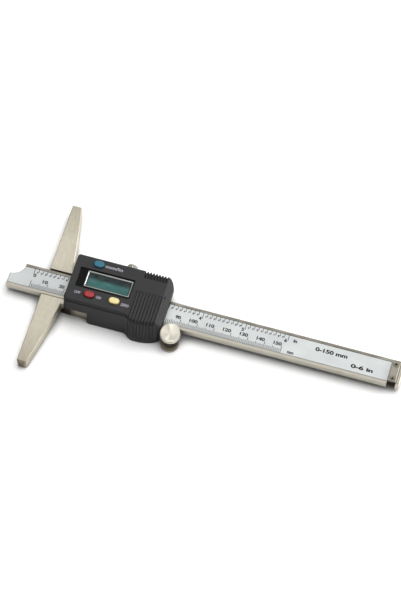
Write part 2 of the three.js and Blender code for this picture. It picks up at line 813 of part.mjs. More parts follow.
function makeButton({ x, y }) {
  const skinBottom = housingTop - buttonSkin - seatGap;
  const flangeBottom = skinBottom - buttonFlangeThickness;
  const shoulder = housingTop + buttonProud - buttonDome;
  const crownInset = buttonDomeInset * crownInsetShare;
  const cap = loft([
    { z: skinBottom - buttonFlangeThickness / 2, outline: pillPoints(buttonLength, buttonWidth) },
    { z: shoulder, outline: pillPoints(buttonLength, buttonWidth) },
    {
      z: housingTop + buttonProud - buttonDome * domeRimShare,
      outline: pillPoints(buttonLength - buttonDomeInset, buttonWidth - buttonDomeInset),
    },
    { z: housingTop + buttonProud, outline: pillPoints(buttonLength - crownInset, buttonWidth - crownInset) },
  ]);
  const flange = prismZ(
    pill(buttonLength + 2 * buttonFlange, buttonWidth + 2 * buttonFlange), flangeBottom, skinBottom,
  );
  const stem = rod(buttonStemRadius, switchTop + buttonTravel + seatGap, skinBottom, [0, switchY(y) - y]);
  return cap.add(flange).add(stem).translate([x, y, 0]);
}

function makeSwitch({ x, y }) {
  const half = switchSize / 2;
  return block([x - half, x + half], [switchY(y) - half, switchY(y) + half], [boardTop, switchTop]);
}

function buttonCuts({ x, y }) {
  const hole = prismZ(
    pill(buttonLength + 2 * buttonGap, buttonWidth + 2 * buttonGap), boardTop, housingTop + cutOverrun,
  );
  const flangeRoom = prismZ(
    pill(buttonLength + 2 * (buttonFlange + buttonGap), buttonWidth + 2 * (buttonFlange + buttonGap)),
    boardTop, housingTop - buttonSkin,
  );
  const switchRoom = block(
    [-switchSize / 2 - seatGap, switchSize / 2 + seatGap],
    [switchY(y) - y - switchSize / 2 - seatGap, 0],
    [boardTop, switchTop + buttonTravel],
  );
  return hole.add(flangeRoom).add(switchRoom).translate([x, y, 0]);
}

// Battery: a button cell between two contacts, under a ribbed cover that slides off along the rod
const cellRadius = 5.8;
const cellHeight = 5.4;
const cellEndMargin = 11.4;
const cellFrontMargin = 7.5;
const cellRim = 0.5;
const cellStep = 0.4;
const coverBackWidth = 8.9;
const coverGap = 0.15;
const coverTongue = 1.1;
const coverTongueThickness = 0.8;
const contactThickness = 0.3;
const contactWidth = 4;
const contactFlat = 2.4;
const contactTop = 1.2;
const contactLength = 8;

const cellX = housingX1 - cellEndMargin;
const cellY = cellFrontMargin - housingFront;
const coverY1 = cellY + coverBackWidth;
const cellTop = coverZ - runningGap;
const cellBottom = cellTop - cellHeight;
const plusX = cellX + cellRadius + seatGap;

function makeCell() {
  return turnedAt([
    [0, cellBottom],
    [cellRadius - cellRim, cellBottom],
    [cellRadius - cellRim, cellBottom + cellStep],
    [cellRadius, cellBottom + cellStep],
    [cellRadius, cellTop - cellRim],
    [cellRadius - cellRim, cellTop],
    [0, cellTop],
  ], [cellX, cellY, 0]);
}

// The lower contact is a bent strip: flat on the board, then rising to the cell
function makeMinusContact() {
  const x0 = cellX - contactLength / 2;
  const x1 = cellX + contactLength / 2;
  const high = cellBottom - seatGap;
  return prismY(shapeFrom([
    [x0, boardTop],
    [x0 + contactFlat, boardTop],
    [x1 - contactTop, high - contactThickness],
    [x1, high - contactThickness],
    [x1, high],
    [x1 - contactTop, high],
    [x0 + contactFlat, boardTop + contactThickness],
    [x0, boardTop + contactThickness],
  ]), cellY - contactWidth / 2, cellY + contactWidth / 2);
}

function makePlusContact() {
  return block(
    [plusX, plusX + contactThickness],
    [cellY - contactWidth / 2, cellY + contactWidth / 2],
    [boardTop, cellTop - cellRim],
  );
}

// Ribs over the cover and down the swelling of the front wall, and the toothed grip at the back
const ribPitch = 1.85;
const ribCount = 9;
const ribMargin = 1.2;
const ribWidth = 0.95;
const ribDepth = 0.55;
const ribBackMargin = 0.6;
const notchDepth = 1.2;
const wallRibBottom = 3.4;
const wallRibTopMargin = 0.5;
const toothPitch = 1.75;
const toothCount = 8;
const toothMargin = 17;
const toothWidth = 1.5;
const toothDepth = 1.2;
const toothReach = 4.7;
const toothBottom = 12.6;

const toothY0 = housingBack - toothReach;
const toothXs = Array.from({ length: toothCount }, (_, i) => housingX1 - toothMargin + i * toothPitch);
const ribXs = Array.from({ length: ribCount }, (_, i) => coverX0 + ribMargin + i * ribPitch);

// A V groove in the top face, running along Y
function topGroove(x, width, depth, y0, y1) {
  const spread = width * (depth + cutOverrun) / depth / 2;
  return prismY(shapeFrom([
    [x, housingTop - depth],
    [x + spread, housingTop + cutOverrun],
    [x - spread, housingTop + cutOverrun],
  ]), y0, y1);
}

// A V groove down a drafted wall: side is -1 for the front wall and 1 for the back wall
function wallGroove(x, width, depth, z0, z1, side) {
  const spread = width * (depth + cutOverrun) / depth / 2;
  const outline = (z) => {
    const drop = housingTop - z;
    const face = side < 0 ? -frontAt(x, drop) : housingBack + drop * housingDraftShare;
    const outer = face + side * cutOverrun;
    return [[x, face - side * depth], [x + side * spread, outer], [x - side * spread, outer]];
  };
  return loft([{ z: z0, outline: outline(z0) }, { z: z1, outline: outline(z1) }]);
}

function makeCover() {
  const blank = housingBlank().intersect(block(
    [coverX0 + coverGap, housingX1 + cutOverrun],
    [-baseLength / 2, coverY1 - coverGap],
    [coverZ + coverGap, housingTop + cutOverrun],
  ));
  const tongue = block(
    [coverX0 + coverGap, bevelX],
    [coverY1 - coverTongue, coverY1 + coverTongue - coverGap],
    [coverZ + coverGap, coverZ + coverTongueThickness],
  );
  const grooves = ribXs.map((x) =>
    topGroove(x, ribWidth, ribDepth, -baseLength / 2, coverY1 - ribBackMargin));
  const notches = ribXs.map((x) =>
    wallGroove(x, ribWidth, notchDepth, coverZ - cutOverrun, housingTop + cutOverrun, -1));
  return without(blank.add(tongue), partingGroove(), ...grooves, ...notches);
}

function makeHousing() {
  const wide = baseLength / 2;
  const relief = block(
    [housingX0 - cutOverrun, housingX1 + cutOverrun],
    [-skirtInner, wide],
    [skirtBottom - cutOverrun, frameTop],
  );
  const step = new THREE.Shape();
  step.moveTo(housingX0 - cutOverrun, skirtBottom - cutOverrun);
  step.lineTo(stepX + stepFillet, skirtBottom - cutOverrun);
  step.lineTo(stepX + stepFillet, skirtBottom);
  step.quadraticCurveTo(stepX, skirtBottom, stepX, skirtBottom + stepFillet);
  step.lineTo(stepX, stepZ - stepFillet / 2);
  step.quadraticCurveTo(stepX, stepZ, stepX - stepFillet / 2, stepZ);
  step.lineTo(housingX0 - cutOverrun, stepZ);
  const stepCut = prismY(step, -wide, -frameSide);
  const boardRoom = block(
    grown(boardX, runningGap), grown(boardY, runningGap), [frameTop - cutOverrun, boardTop + runningGap],
  );
  const displayRecess = block(displayRecessX, displayRecessY, [recessZ, housingTop + cutOverrun]);
  const displayHole = block(
    grown(bezelHoleX, -windowLedge), grown(bezelHoleY, -windowLedge), [boardTop, housingTop + cutOverrun],
  );
  const panelRoom = block(
    grown(panelX, seatGap), grown(panelY, seatGap), [boardTop, recessZ - displaySkin],
  );
  const cellRoom = rod(cellRadius + seatGap * 2, boardTop, housingTop, [cellX, cellY], roundSteps);
  const plusRoom = block(
    [cellX, plusX + contactThickness + seatGap],
    [cellY - contactWidth / 2 - seatGap, cellY + contactWidth / 2 + seatGap],
    [boardTop, coverZ + seatGap],
  );
  const coverRoom = block(
    [coverX0, housingX1 + cutOverrun], [-wide, coverY1], [coverZ, housingTop + cutOverrun],
  );
  const tongueRoom = block(
    [coverX0, housingX1 + cutOverrun],
    [coverY1 - coverTongue, coverY1 + coverTongue],
    [coverZ, coverZ + coverTongueThickness + coverGap],
  );
  const rollerRoom = rod(
    rollerTopRadius + cellRim, skirtBottom - cutOverrun, rollerTopZ1 + runningGap,
    [rollerX, rollerY], roundSteps,
  );
  return without(
    housingBlank(), relief, stepCut, boardRoom, displayRecess, displayHole, panelRoom,
    ...Object.values(buttonPlaces).map(buttonCuts),
    cellRoom, plusRoom, coverRoom, tongueRoom, rollerRoom, partingGroove(),
    ...housingScrewPlaces.map((place) => screwHole(housingScrewSize, place, false)),
    ...ribXs.map((x) => wallGroove(x, ribWidth, ribDepth, wallRibBottom, coverZ - wallRibTopMargin, -1)),
    ...toothXs.map((x) => topGroove(x, toothWidth, toothDepth, toothY0, wide)),
    ...toothXs.map((x) => wallGroove(x, toothWidth, toothDepth, toothBottom, housingTop + cutOverrun, 1)),
  );
}

function makeBoard() {
  const shape = shapeFrom([
    [boardX[0], boardY[0]], [boardX[1], boardY[0]], [boardX[1], boardY[1]], [boardX[0], boardY[1]],
  ]);
  const board = prismZ(shape, frameTop, boardTop);
  const holes = housingScrewPlaces.map(([x, y]) =>
    rod(housingScrewSize.shank + seatGap * 2, frameTop - cutOverrun, boardTop + cutOverrun, [x, y]));
  return without(board, ...holes);
}

// The measuring rod
const rodGroup = new THREE.Group();
rodGroup.add(
  piece("beam", makeBeam(), steel),
  piece("scale_strip", prismZ(stripOutline(), recessFloor, stripTop), boardGreen),
  piece("scale_label", prismZ(stripOutline(), stripTop, labelTop), labelWhite),
  piece("stop_plate", makeStopPlate(), darkSteel),
  ...stopScrewPlaces.map((place, i) =>
    piece(`stop_screw_${i + 1}`, screw(stopScrewSize, place, true), darkSteel)),
);

// The base and the slider with its housing
const sliderGroup = new THREE.Group();
sliderGroup.add(
  piece("base", makeBase(), steel),
  piece("slider_frame", makeFrame(), darkSteel),
  piece("gib_strip", makeGib(), brass),
  piece("roller_bracket", makeBracket(), darkSteel),
  piece("roller_axle", makeAxle(), darkSteel),
  piece("circuit_board", makeBoard(), boardGreen),
  piece("housing", makeHousing(), blackPlastic),
  piece("lcd_holder", makeHolder(), blackPlastic),
  piece("lcd_panel", block(panelX, panelY, [panelBottom, panelTop]), displayTeal),
  piece("lcd_bezel", makeBezel(), bezelSilver),
  piece("lcd_window", makeWindow(), clearWindow),
  piece("battery", makeCell(), turnedSteel),
  piece("contact_minus", makeMinusContact(), brass),
  piece("contact_plus", makePlusContact(), brass),
  ...[-1, 1].map((side, i) => piece(`lcd_connector_${i + 1}`, makeConnector(side), darkRubber)),
  ...Object.values(buttonPlaces).map((place, i) =>
    piece(`key_switch_${i + 1}`, makeSwitch(place), darkRubber)),
  ...gibScrewX.map((x, i) => piece(`gib_screw_${i + 1}`, makeGibScrew(x), darkSteel)),
  ...baseScrewPlaces.map((place, i) =>
    piece(`base_screw_${i + 1}`, screw(frameScrewSize, place, false), darkSteel)),
  ...housingScrewPlaces.map((place, i) =>
    piece(`housing_screw_${i + 1}`, screw(housingScrewSize, place, false), darkSteel)),
  ...bracketScrewPlaces.map((place, i) =>
    piece(`bracket_screw_${i + 1}`, screw(bracketScrewSize, place, false), darkSteel)),
);

// What turns, presses or slides on the slider
const controlsGroup = new THREE.Group();
controlsGroup.add(
  piece("thumb_roller", makeRoller(), turnedSteel),
  piece("lock_screw", makeLockScrew(), darkSteel),
  ...Object.entries(buttonPlaces).map(([name, place]) => piece(name, makeButton(place), place.finish)),
  piece("battery_cover", makeCover(), blackPlastic),
);

const depthGauge = new THREE.Group();
depthGauge.add(rodGroup, sliderGroup, controlsGroup);
export default depthGauge;
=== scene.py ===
import json
import math

import bmesh
import bpy
from mathutils import Matrix, Vector

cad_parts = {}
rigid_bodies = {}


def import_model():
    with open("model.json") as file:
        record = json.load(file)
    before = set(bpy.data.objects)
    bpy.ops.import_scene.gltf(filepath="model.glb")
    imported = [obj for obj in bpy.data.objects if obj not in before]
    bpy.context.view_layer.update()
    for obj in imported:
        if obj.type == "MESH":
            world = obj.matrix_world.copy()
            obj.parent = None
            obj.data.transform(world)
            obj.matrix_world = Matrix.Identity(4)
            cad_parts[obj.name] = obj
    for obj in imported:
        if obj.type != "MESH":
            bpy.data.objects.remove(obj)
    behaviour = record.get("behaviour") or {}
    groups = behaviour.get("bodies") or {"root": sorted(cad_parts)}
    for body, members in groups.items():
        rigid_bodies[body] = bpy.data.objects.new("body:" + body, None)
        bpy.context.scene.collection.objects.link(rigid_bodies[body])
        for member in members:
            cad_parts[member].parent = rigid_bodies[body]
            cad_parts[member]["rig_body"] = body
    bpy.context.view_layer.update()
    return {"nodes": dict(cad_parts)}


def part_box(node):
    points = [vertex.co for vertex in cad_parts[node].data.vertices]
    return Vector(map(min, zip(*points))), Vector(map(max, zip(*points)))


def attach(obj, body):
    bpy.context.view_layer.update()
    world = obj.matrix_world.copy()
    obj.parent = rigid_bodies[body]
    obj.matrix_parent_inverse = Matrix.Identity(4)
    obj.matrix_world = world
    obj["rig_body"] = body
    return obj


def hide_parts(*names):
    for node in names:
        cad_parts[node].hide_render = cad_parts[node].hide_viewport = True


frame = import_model()

# Camera
# The photograph looks down on the gauge from the front through a long lens, turned a little to the right.
MM = 0.001
view_azimuth = math.radians(16.4)
view_elevation = math.radians(62.44)
view_target = Vector((89.5, 13.17, 8.2)) * MM
view_distance = 1.5075
view_back = Vector((
    math.sin(view_azimuth) * math.cos(view_elevation),
    -math.cos(view_azimuth) * math.cos(view_elevation),
    math.sin(view_elevation),
))
scene = bpy.context.scene
scene.view_settings.view_transform = "Standard"
camera = bpy.data.objects.new("camera", bpy.data.cameras.new("camera"))
camera.data.lens = 157.1
camera.data.sensor_width = 36
camera.data.clip_start = 0.05
camera.data.clip_end = 20
camera.location = view_target + view_distance * view_back
camera.rotation_mode = "QUATERNION"
camera.rotation_quaternion = (-view_back).to_track_quat("-Z", "Y")
scene.collection.objects.link(camera)
scene.camera = camera


# White surroundings
# The gauge was photographed in a white tent, lit from above and a little from behind, so its shadow is short
# and falls to the front. The side walls of the tent are dimmer, and show in the metal.
class Level:
    """A socket of a node tree, whose arithmetic adds Math nodes."""

    def __init__(self, tree, socket):
        self.tree = tree
        self.socket = socket

    def __add__(self, other):
        return self.tree.maths("ADD", self, other)

    __radd__ = __add__

    def __sub__(self, other):
        return self.tree.maths("SUBTRACT", self, other)

    def __rsub__(self, other):
        return self.tree.maths("SUBTRACT", other, self)

    def __mul__(self, other):
        return self.tree.maths("MULTIPLY", self, other)

    __rmul__ = __mul__


class Tree:
    """The nodes of the surroundings or of a finish."""

    def __init__(self, owner):
        owner.use_nodes = True
        self.nodes = owner.node_tree.nodes
        self.links = owner.node_tree.links

    def node(self, kind, settings, sockets, output=0):
        made = self.nodes.new(kind)
        for name, value in settings.items():
            setattr(made, name, value)
        for key, value in sockets.items():
            self.feed(made.inputs[key], value)
        return Level(self, made.outputs[output])

    def feed(self, socket, value):
        if isinstance(value, Level):
            self.links.new(value.socket, socket)
        else:
            socket.default_value = value

    def maths(self, operation, first, second):
        return self.node("ShaderNodeMath", {"operation": operation}, {0: first, 1: second})

    def unsigned(self, level):
        return self.maths("ABSOLUTE", level, 0)

    def spread(self, level, low, high, to_low=0, to_high=1):
        """The level drawn out so that low and high become to_low and to_high."""
        return self.node("ShaderNodeMapRange", {}, {0: level, 1: low, 2: high, 3: to_low, 4: to_high})

    def rays(self):
        """1 where the camera looks, and 1 where a glossy surface or glass does."""
        kinds = ("Camera", "Glossy", "Transmission")
        path = [self.node("ShaderNodeLightPath", {}, {}, f"Is {kind} Ray") for kind in kinds]
        return path[0], self.maths("MAXIMUM", path[1], path[2])


tent = bpy.data.worlds.new("white_tent")
scene.world = tent
tent_tree = Tree(tent)
to_camera, to_gloss = tent_tree.rays()
direction = tent_tree.node("ShaderNodeTexCoord", {}, {}, "Generated")
tent_glow = Vector((0.1, 0.27, 0.95)).normalized()
GLOW_RIM, GLOW_MIDDLE = 0.79, 0.98
WALL_LIGHT, GLOW_LIGHT = 0.1, 5.0
towards_glow = tent_tree.node(
    "ShaderNodeVectorMath", {"operation": "DOT_PRODUCT"}, {0: direction, 1: tent_glow}, 1,
)
tent_light = tent_tree.spread(towards_glow, GLOW_RIM, GLOW_MIDDLE, WALL_LIGHT, GLOW_LIGHT)
sideways = tent_tree.unsigned(tent_tree.node("ShaderNodeSeparateXYZ", {}, {0: direction}))
SIDE_WALL, SIDE_WALL_MIRRORED = 0.7, 0.3
tent_mirrored = tent_tree.spread(sideways, SIDE_WALL, 0.15, SIDE_WALL_MIRRORED, 1.0)
seen = tent_tree.maths("MAXIMUM", to_camera, to_gloss * tent_mirrored)
unseen = tent_light * (1 - tent_tree.maths("MAXIMUM", to_camera, to_gloss))
tent_tree.feed(tent_tree.nodes["Background"].inputs["Strength"], seen + unseen)
tent_tree.nodes["Background"].inputs["Color"].default_value = (1, 1, 1, 1)


# Lamp
# A soft lamp stands low on the right of the gauge and a little behind it.
# It shows as a weak sheen on the slanted end of the housing.
def soft_lamp(name, direction, distance, size, power):
    light = bpy.data.lights.new(name, "AREA")
    light.shape = "SQUARE"
    light.size = size
    light.energy = power
    lamp = bpy.data.objects.new(name, light)
    away = Vector(direction).normalized()
    lamp.location = view_target + distance * away
    lamp.rotation_mode = "QUATERNION"
    lamp.rotation_quaternion = away.to_track_quat("Z", "Y")
    lamp.visible_camera = False
    scene.collection.objects.link(lamp)


LAMP_DISTANCE = 1.3
LAMP_SIZE = 0.5
LAMP_POWER = 12.0
soft_lamp("lamp_right", (0.9, 0.42, 0.28), LAMP_DISTANCE, LAMP_SIZE, LAMP_POWER)


# Floor
# A sheet of matt white board, on which the gauge lies and which keeps its soft shadow.
# Close under the gauge, where little light comes in, its colour is painted dark as shade.
def colour(red, green, blue):
    """The linear colour of a screen colour from 0 to 255."""
    shares = [value / 255 for value in (red, green, blue)]
    return [*(share / 12.92 if share < 0.04 else ((share + 0.055) / 1.055) ** 2.4 for share in shares), 1]


class Finish(Tree):
    """A material with one Principled shader."""

    def __init__(self, name, constants):
        self.material = bpy.data.materials.new(name)
        super().__init__(self.material)
        self.shader = self.nodes["Principled BSDF"]
        for key, value in constants.items():
            self.shader.inputs[key].default_value = value

    def give(self, **values):
        for key, value in values.items():
            self.feed(self.shader.inputs[key.replace("_", " ")], value)

    def blend(self, share, first, second):
        """One colour going over into the other."""
        return self.node("ShaderNodeMix", {"data_type": "RGBA"}, {0: share, 6: first, 7: second}, 2)

    def place(self, size):
        """The place on the object, counted in grains of this size."""
        point = self.node("ShaderNodeTexCoord", {}, {}, "Object")
        per_grain = [1 / length for length in size]
        return self.node("ShaderNodeMapping", {}, {"Vector": point, "Scale": per_grain})

    def along(self, axis):
        """The place on the object along X, Y or Z, in metres."""
        return self.node("ShaderNodeSeparateXYZ", {}, {0: self.place((1, 1, 1))}, axis)

    def tone(self):
        """The colour given so far."""
        return Level(self, self.shader.inputs["Base Color"].links[0].from_socket)

    def grain(self, size, detail=2):
        """Soft noise with grains of this size along X, Y and Z."""
        return self.node("ShaderNodeTexNoise", {}, {"Vector": self.place(size), "Scale": 1, "Detail": detail})

    def bump(self, height, depth):
        """The surface normal over a height map whose 0 to 1 is depth metres."""
        return self.node("ShaderNodeBump", {}, {"Strength": 1, "Distance": depth, "Height": height})


FLOOR_WHITE = 0.95
FLOOR_LIFT = 0.06
floor_finish = Finish("white_board", {"Roughness": 1, "Specular IOR Level": 0, "Emission Strength": FLOOR_LIFT})
floor_seen = floor_finish.rays()[0]
floor_grain = floor_finish.grain((0.002, 0.002, 0.002))
floor_white = (FLOOR_WHITE, FLOOR_WHITE, FLOOR_WHITE, 1)
floor_pale = (FLOOR_WHITE * 0.985, FLOOR_WHITE * 0.985, FLOOR_WHITE * 0.98, 1)
CONTACT_REACH = 20 * MM
CONTACT_SHADE = 0.93
# Painted shade: the board's colour is darkened where the gauge closes it in.
openness = floor_finish.node("ShaderNodeAmbientOcclusion", {"samples": 8}, {"Distance": CONTACT_REACH}, 1)
contact = floor_finish.spread(openness, 0.6, 0.3)
floor_board = floor_finish.blend(floor_grain, floor_pale, floor_white)
floor_finish.give(
    Base_Color=floor_finish.blend(CONTACT_SHADE * contact, floor_board, (0, 0, 0, 1)),
    Emission_Color=floor_finish.blend(floor_seen, (0, 0, 0, 1), (1, 1, 1, 1)),
)


def piece_from(shape, name, finish):
    """Makes an object of a bmesh, in one finish."""
    mesh = bpy.data.meshes.new(name)
    shape.to_mesh(mesh)
    shape.free()
    mesh.materials.append(finish.material)
    made = bpy.data.objects.new(name, mesh)
    scene.collection.objects.link(made)
    return made


FLOOR_HALF = 2.5
FLOOR_GAP = 0.02 * MM
floor_shape = bmesh.new()
bmesh.ops.create_grid(floor_shape, x_segments=2, y_segments=2, size=FLOOR_HALF)
bmesh.ops.translate(floor_shape, verts=floor_shape.verts, vec=(0.09, 0, -FLOOR_GAP))
piece_from(floor_shape, "floor", floor_finish)


# Rod
# A flat bar of hardened steel, ground along its length, with a shallow channel for the scale between two rails.
# Its back corner at the tip is scooped out. Shade is painted dark in the gap beside the film, on the back rail
# and in the stop's notch.
EDGE_ANGLE = math.radians(30)
FLAT_ANGLE = math.radians(0.2)
WELD = 0.002 * MM


def dressed(node, name, finish, edge, segments=2, triangles_first=False):
    """A copy of a solid of the frame with its edges broken, standing for that solid."""
    solid = frame["nodes"][node].data.copy()
    solid.attributes.remove(solid.attributes["custom_normal"])
    shape = bmesh.new()
    shape.from_mesh(solid)
    bpy.data.meshes.remove(solid)
    bmesh.ops.remove_doubles(shape, verts=shape.verts, dist=WELD)
    bmesh.ops.dissolve_limit(shape, angle_limit=FLAT_ANGLE, verts=shape.verts, edges=shape.edges)
    if triangles_first:
        bmesh.ops.triangulate(shape, faces=shape.faces, quad_method="BEAUTY", ngon_method="BEAUTY")
    for face in shape.faces:
        face.smooth = True
        face.material_index = 0
    for side in shape.edges:
        side.smooth = side.is_manifold and side.calc_face_angle() < EDGE_ANGLE
    made = piece_from(shape, name, finish)
    broken = made.modifiers.new("broken_edges", "BEVEL")
    broken.limit_method = "ANGLE"
    broken.angle_limit = EDGE_ANGLE
    broken.width = edge
    broken.segments = segments
    broken.use_clamp_overlap = False
    cut = made.modifiers.new("triangles", "TRIANGULATE")
    cut.quad_method = "BEAUTY"
    cut.ngon_method = "BEAUTY"
    even = made.modifiers.new("even_shading", "WEIGHTED_NORMAL")
    even.keep_sharp = True
    even.weight = 90
    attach(made, frame["nodes"][node]["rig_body"])
    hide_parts(node)
    return made


def edges(finish, radius):
    """1 along the edges of a piece, fading to 0 at this distance from them."""
    round_normal = finish.node("ShaderNodeBevel", {"samples": 6}, {"Radius": radius})
    normal = finish.node("ShaderNodeNewGeometry", {}, {}, "Normal")
    along = finish.node("ShaderNodeVectorMath", {"operation": "DOT_PRODUCT"}, {0: round_normal, 1: normal}, 1)
    return finish.spread(along, 1.0, 0.85)


def crevices(finish, reach):
    """1 in the corners between pieces, fading to 0 on open faces."""
    openness = finish.node("ShaderNodeAmbientOcclusion", {"samples": 6}, {"Distance": reach}, 1)
    return finish.spread(openness, 0.55, 0.2)


def steel(name, tint, roughness, stroke, depth, toning=0.011, slack=0.12):
    """Steel with fine machining strokes, slow toning, edges rubbed bright, and shade painted dark in the corners.
    """
    metal = Finish(name, {"Metallic": 1})
    strokes = metal.grain(stroke, 3)
    clouds = metal.spread(metal.grain((toning, toning, toning), 3), 0.3, 0.7)
    worn = edges(metal, 0.35 * MM)
    dark = [*(value * (1 - slack) for value in tint[:3]), 1]
    light = [*(min(1, value * (1 + slack / 2)) for value in tint[:3]), 1]
    bright = [*(min(1, value * 1.25) for value in tint[:3]), 1]
    body = metal.blend(0.5 * clouds + 0.5 * metal.spread(strokes, 0.35, 0.65), dark, light)
    # Painted shade: the corners between pieces are darkened towards a near-black copy of the tint.
    corner_shaded = metal.blend(0.8 * crevices(metal, 4 * MM), body, [*(value * 0.12 for value in tint[:3]), 1])
    metal.give(
        Base_Color=metal.blend(0.6 * worn, corner_shaded, bright),
        Roughness=roughness + 0.1 * strokes + 0.05 * clouds - 0.08 * worn,
        Normal=metal.bump(strokes, depth),
    )
    return metal


rod_steel = steel("ground_rod_steel", colour(192, 187, 174), 0.26, (0.004, 0.00012, 0.00012), 0.0015 * MM)
rod_x, rod_y, rod_z = (rod_steel.along(axis) for axis in range(3))
rod_tone = rod_steel.tone()
shade_breaks = rod_steel.spread(rod_steel.grain((0.006, 0.0006, 0.0006), 2), 0.35, 0.6)
rail_side = 6.3 * MM
# Painted shade: a broken dark line in the gap beside the film, a darker back rail, and deep shade in the stop's
# notch.
from_rail = rod_steel.unsigned(rod_steel.unsigned(rod_y) - rail_side)
film_gap_shade = rod_steel.spread(from_rail, 0.3 * MM, 0.12 * MM)
back_rail_shade = rod_steel.spread(rod_y, rail_side, 6.7 * MM)
notch_shade = rod_steel.spread(rod_x, 204.9 * MM, 205.2 * MM) * rod_steel.spread(rod_y, -5.9 * MM, -6.2 * MM)
notch_shade = notch_shade * rod_steel.spread(rod_z, 8.18 * MM, 8.1 * MM)
notch_shade = notch_shade * rod_steel.spread(rod_x, 210.4 * MM, 210.1 * MM)
gap_and_rail_shade = rod_steel.maths("MAXIMUM", film_gap_shade * (0.35 + 0.45 * shade_breaks), back_rail_shade * (0.3 + 0.3 * shade_breaks))
rod_painted_shade = rod_steel.maths("MAXIMUM", gap_and_rail_shade, 0.93 * notch_shade)
rod_steel.give(Base_Color=rod_steel.blend(rod_painted_shade, rod_tone, colour(44, 42, 38)))
dressed("beam", "rod_bar", rod_steel, 0.15 * MM)

# Scale strip
# The electronic scale is a strip of glass fibre glued in the channel, under a printed satin film.
# Only its cut edge shows, beside the film and where the tip is scooped out.
LAMINATE_TINT = colour(196, 190, 160)


def recoat(finish, *nodes):
    """Gives solids of the frame a finish."""
    for node in nodes:
        for place in frame["nodes"][node].material_slots:
            place.material = finish.material


laminate = Finish("glass_fibre_laminate", {"Metallic": 0})
layers = laminate.grain((0.006, 0.006, 0.00006), 2)
weave = laminate.grain((0.0004, 0.0004, 0.0004), 1)
laminate.give(
    Base_Color=laminate.blend(laminate.spread(layers, 0.35, 0.65), colour(150, 140, 104), LAMINATE_TINT),
    Roughness=0.55 + 0.2 * weave,
    Normal=laminate.bump(weave, 0.004 * MM),
)
recoat(laminate, "scale_strip")

# Scale film
# A silver-white polyester film carries the printed scale. It is satin from its top coat,
# with a faint orange peel, and grey shade is painted along its edges.
film = Finish("satin_scale_film", {"Metallic": 0, "Specular IOR Level": 0.5})
peel = film.grain((0.0009, 0.0009, 0.0009), 2)
handling = film.spread(film.grain((0.018, 0.009, 0.009), 3), 0.3, 0.75)
# Painted shade: the film goes grey towards its edges, beside the step of the channel.
film_edge_shade = edges(film, 0.45 * MM)
film_white = film.blend(handling, colour(186, 189, 189), colour(198, 202, 201))
film.give(
    Base_Color=film.blend(0.8 * film_edge_shade, film_white, colour(84, 86, 86)),
    Roughness=0.34 + 0.16 * handling,
    Normal=film.bump(peel, 0.003 * MM),
)
recoat(film, "scale_label")

# Printed scale
# Black ink on the film: millimetres along the front edge, tenths of an inch along the back one.
# The ink stands a hair above the film, and is thin in places.
INK_THICKNESS = 0.02 * MM
film_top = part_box("scale_label")[1].z
zero_x = -7.85
front_y = -6.0
back_y = 6.1
inch = 25.4
ink = Finish("scale_ink", {"Metallic": 0, "Specular IOR Level": 0.3})
ink_body = ink.spread(ink.grain((0.0003, 0.0003, 0.0003), 2), 0.3, 0.7)
ink.give(
    Base_Color=ink.blend(ink_body, colour(20, 22, 26), colour(40, 42, 46)),
    Roughness=0.4 + 0.2 * ink_body,
    Normal=ink.bump(ink_body, 0.002 * MM),
)


def add_bar(shape, low, high, bottom, thickness):
    """Adds a thin printed bar between two corners, in millimetres, to a bmesh."""
    bar = bmesh.ops.create_cube(shape, size=1)["verts"]
    size = ((high[0] - low[0]) * MM, (high[1] - low[1]) * MM, thickness)
    middle = ((low[0] + high[0]) / 2 * MM, (low[1] + high[1]) / 2 * MM, bottom + thickness / 2)
    bmesh.ops.scale(shape, verts=bar, vec=size)
    bmesh.ops.translate(shape, verts=bar, vec=middle)


def add_words(shape, words, middle, height, width, bottom, thickness, weight=0.045):
    """Adds raised letters to a bmesh, stretched to a height and a width about their middle, in millimetres."""
    curve = bpy.data.curves.new(words, "FONT")
    curve.body = words
    curve.extrude = 0.5
    curve.offset = weight
    curve.resolution_u = 4
    letters = bpy.data.objects.new(words, curve)
    scene.collection.objects.link(letters)
    bpy.context.view_layer.update()
    mesh = bpy.data.meshes.new_from_object(letters)
    bpy.data.objects.remove(letters)
    corners = [vertex.co for vertex in mesh.vertices]
    low = Vector([min(corner[axis] for corner in corners) for axis in range(3)])
    high = Vector([max(corner[axis] for corner in corners) for axis in range(3)])
    mesh.transform(Matrix.Translation(-(low + high) / 2))
    size = (width * MM / (high.x - low.x), height * MM / (high.y - low.y), thickness / (high.z - low.z))
    mesh.transform(Matrix.Diagonal((*size, 1)))
    mesh.transform(Matrix.Translation((middle[0] * MM, middle[1] * MM, bottom + thickness / 2)))
    shape.from_mesh(mesh)


def printed(shape, name, body, finish):
    """Makes one printed piece of a bmesh and fixes it to a body."""
    bmesh.ops.remove_doubles(shape, verts=shape.verts, dist=0.0005 * MM)
    bmesh.ops.recalc_face_normals(shape, faces=shape.faces)
    made = piece_from(shape, name, finish)
    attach(made, body)
    return made


TICK_WIDTH = 0.34
ticks = bmesh.new()
for count in range(151):
    tick_x = zero_x + count
    tick_length = 4.3 if count % 10 == 0 else 3.1 if count % 5 == 0 else 2.4
    add_bar(ticks, (tick_x - TICK_WIDTH / 2, front_y), (tick_x + TICK_WIDTH / 2, front_y + tick_length),
            film_top, INK_THICKNESS)
for count in range(61):
    tick_x = zero_x + count * inch / 10
    tick_length = 3.6 if count % 10 == 0 else 2.2
    add_bar(ticks, (tick_x - TICK_WIDTH / 2, back_y - tick_length), (tick_x + TICK_WIDTH / 2, back_y),
            film_top, INK_THICKNESS)
printed(ticks, "scale_ticks", "rod", ink)

